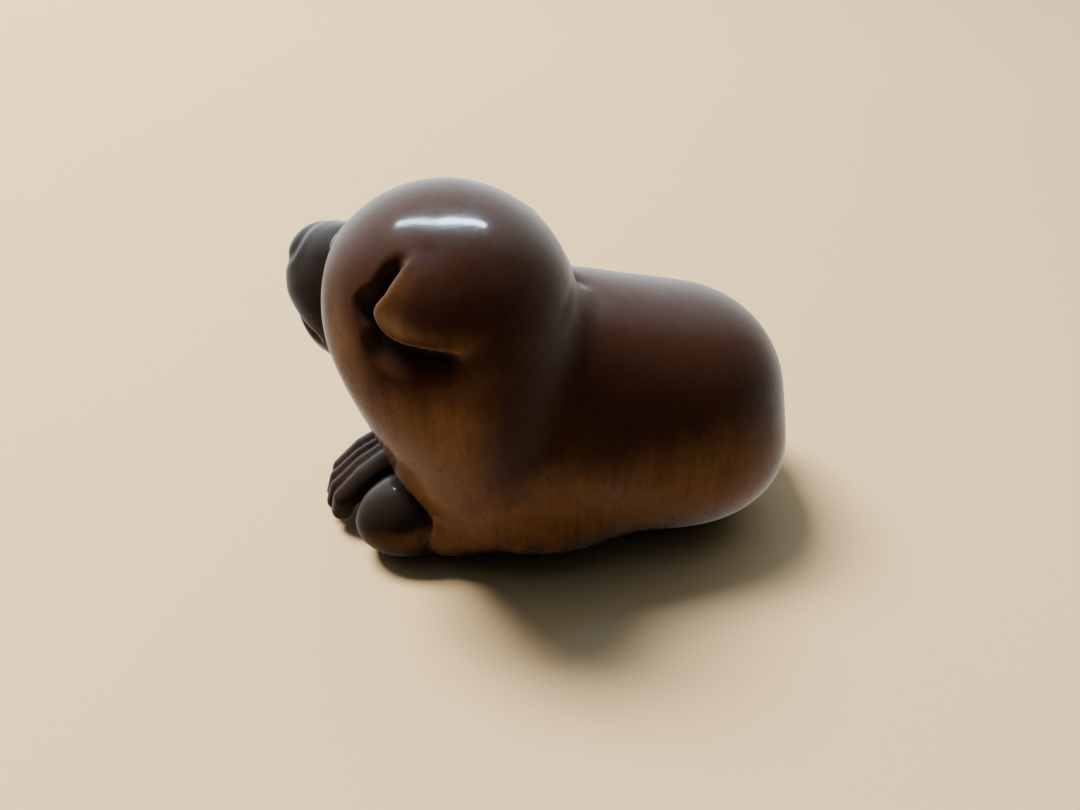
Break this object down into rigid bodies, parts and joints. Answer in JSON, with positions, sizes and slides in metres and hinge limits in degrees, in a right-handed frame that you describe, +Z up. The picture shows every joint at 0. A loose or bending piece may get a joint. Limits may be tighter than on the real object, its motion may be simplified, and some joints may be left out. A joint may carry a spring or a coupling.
{
  "type": "carved puppy toggle",
  "caption": "Palm-sized carved puppy lying down with its head turned, drop ears, tucked paws, inlaid eyes and a cord tunnel underneath; hangs as a toggle or rests on a shelf.",
  "frame": {"origin": "bottom centre of the bounding box, on the plane the puppy rests on", "axes": "the puppy's chest faces -Y and its rump points to +Y; its left side is +X; +Z is up"},
  "size_m": [0.0225, 0.038, 0.0279],
  "materials": {
    "stained_boxwood": "polished, dark amber-brown stain, near black on the muzzle and the paws",
    "dark_horn": "polished near-black buffalo horn"
  },
  "bodies": {
    "root": {"carved_puppy": "stained_boxwood", "left_eye": "dark_horn", "right_eye": "dark_horn"}
  },
  "joints": []
}
